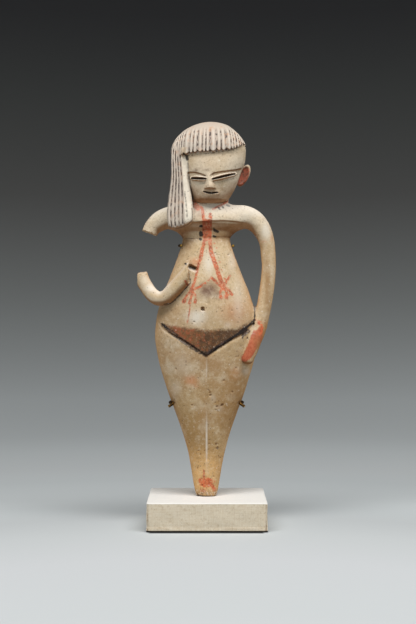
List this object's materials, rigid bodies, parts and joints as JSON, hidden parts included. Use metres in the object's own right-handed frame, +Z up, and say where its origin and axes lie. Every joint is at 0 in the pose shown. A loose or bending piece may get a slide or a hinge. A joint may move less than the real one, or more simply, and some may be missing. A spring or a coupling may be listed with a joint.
{
  "type": "painted clay figurine on display stand",
  "caption": "Hand-modelled painted clay figurine of a standing woman with a side lock, one arm broken, in a brass cradle on a linen-covered block.",
  "frame": {"origin": "centre of the block's underside", "axes": "+Z up along the figurine, which faces -Y, with +X on the side of its whole arm"},
  "size_m": [0.0842, 0.06, 0.2408],
  "materials": {
    "painted_clay": "matt cream slip over fired clay, with worn red and black paint",
    "brass_wire": "dull brown brass, bright at the cut tips",
    "linen": "undyed plain-weave linen, stretched and folded at the corners"
  },
  "bodies": {
    "root": {"figurine": "painted_clay", "brass_cradle": "brass_wire", "linen_covered_block": "linen"}
  },
  "joints": []
}
